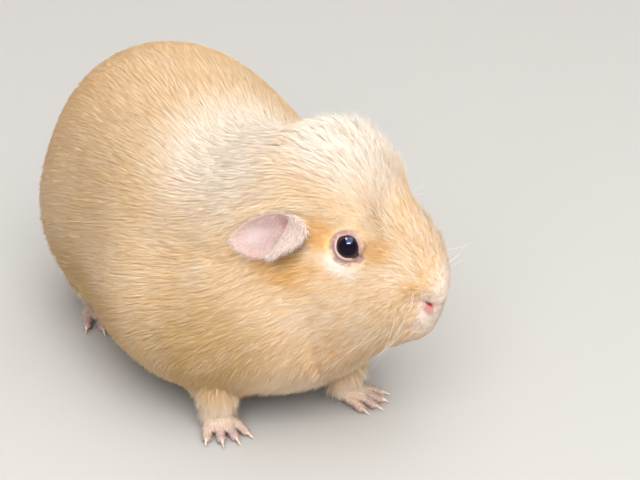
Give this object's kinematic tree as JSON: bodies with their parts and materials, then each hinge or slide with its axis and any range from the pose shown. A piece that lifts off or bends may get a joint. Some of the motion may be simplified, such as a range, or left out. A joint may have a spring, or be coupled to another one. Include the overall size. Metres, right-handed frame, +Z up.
{
  "type": "guinea pig",
  "caption": "Life-size display model of a short-haired golden-buff guinea pig, standing on all four feet with its head lowered and turned to its left.",
  "frame": {"origin": "on the floor, under the middle of the animal's box", "axes": "+X towards the front of the trunk, +Y to the animal's left, +Z up; the soles stand on Z = 0"},
  "size_m": [0.1992, 0.1056, 0.1133],
  "materials": {
    "coat": "short, dense, soft golden-buff fur",
    "skin": "bare pink skin with a thin down",
    "eye": "wet, near-black gloss",
    "claw": "pale translucent horn",
    "whisker": "fine white bristle"
  },
  "bodies": {
    "root": {"trunk": "coat", "neck": "coat", "head": "coat", "lower_jaw": "coat", "foreleg_left": "coat", "foreleg_right": "coat", "thigh_left": "coat", "thigh_right": "coat", "nose": "skin", "ear_left": "skin", "ear_right": "skin", "forepaw_left": "skin", "forepaw_right": "skin", "hind_foot_left": "skin", "hind_foot_right": "skin", "eye_left": "eye", "eye_right": "eye"}
  },
  "joints": []
}
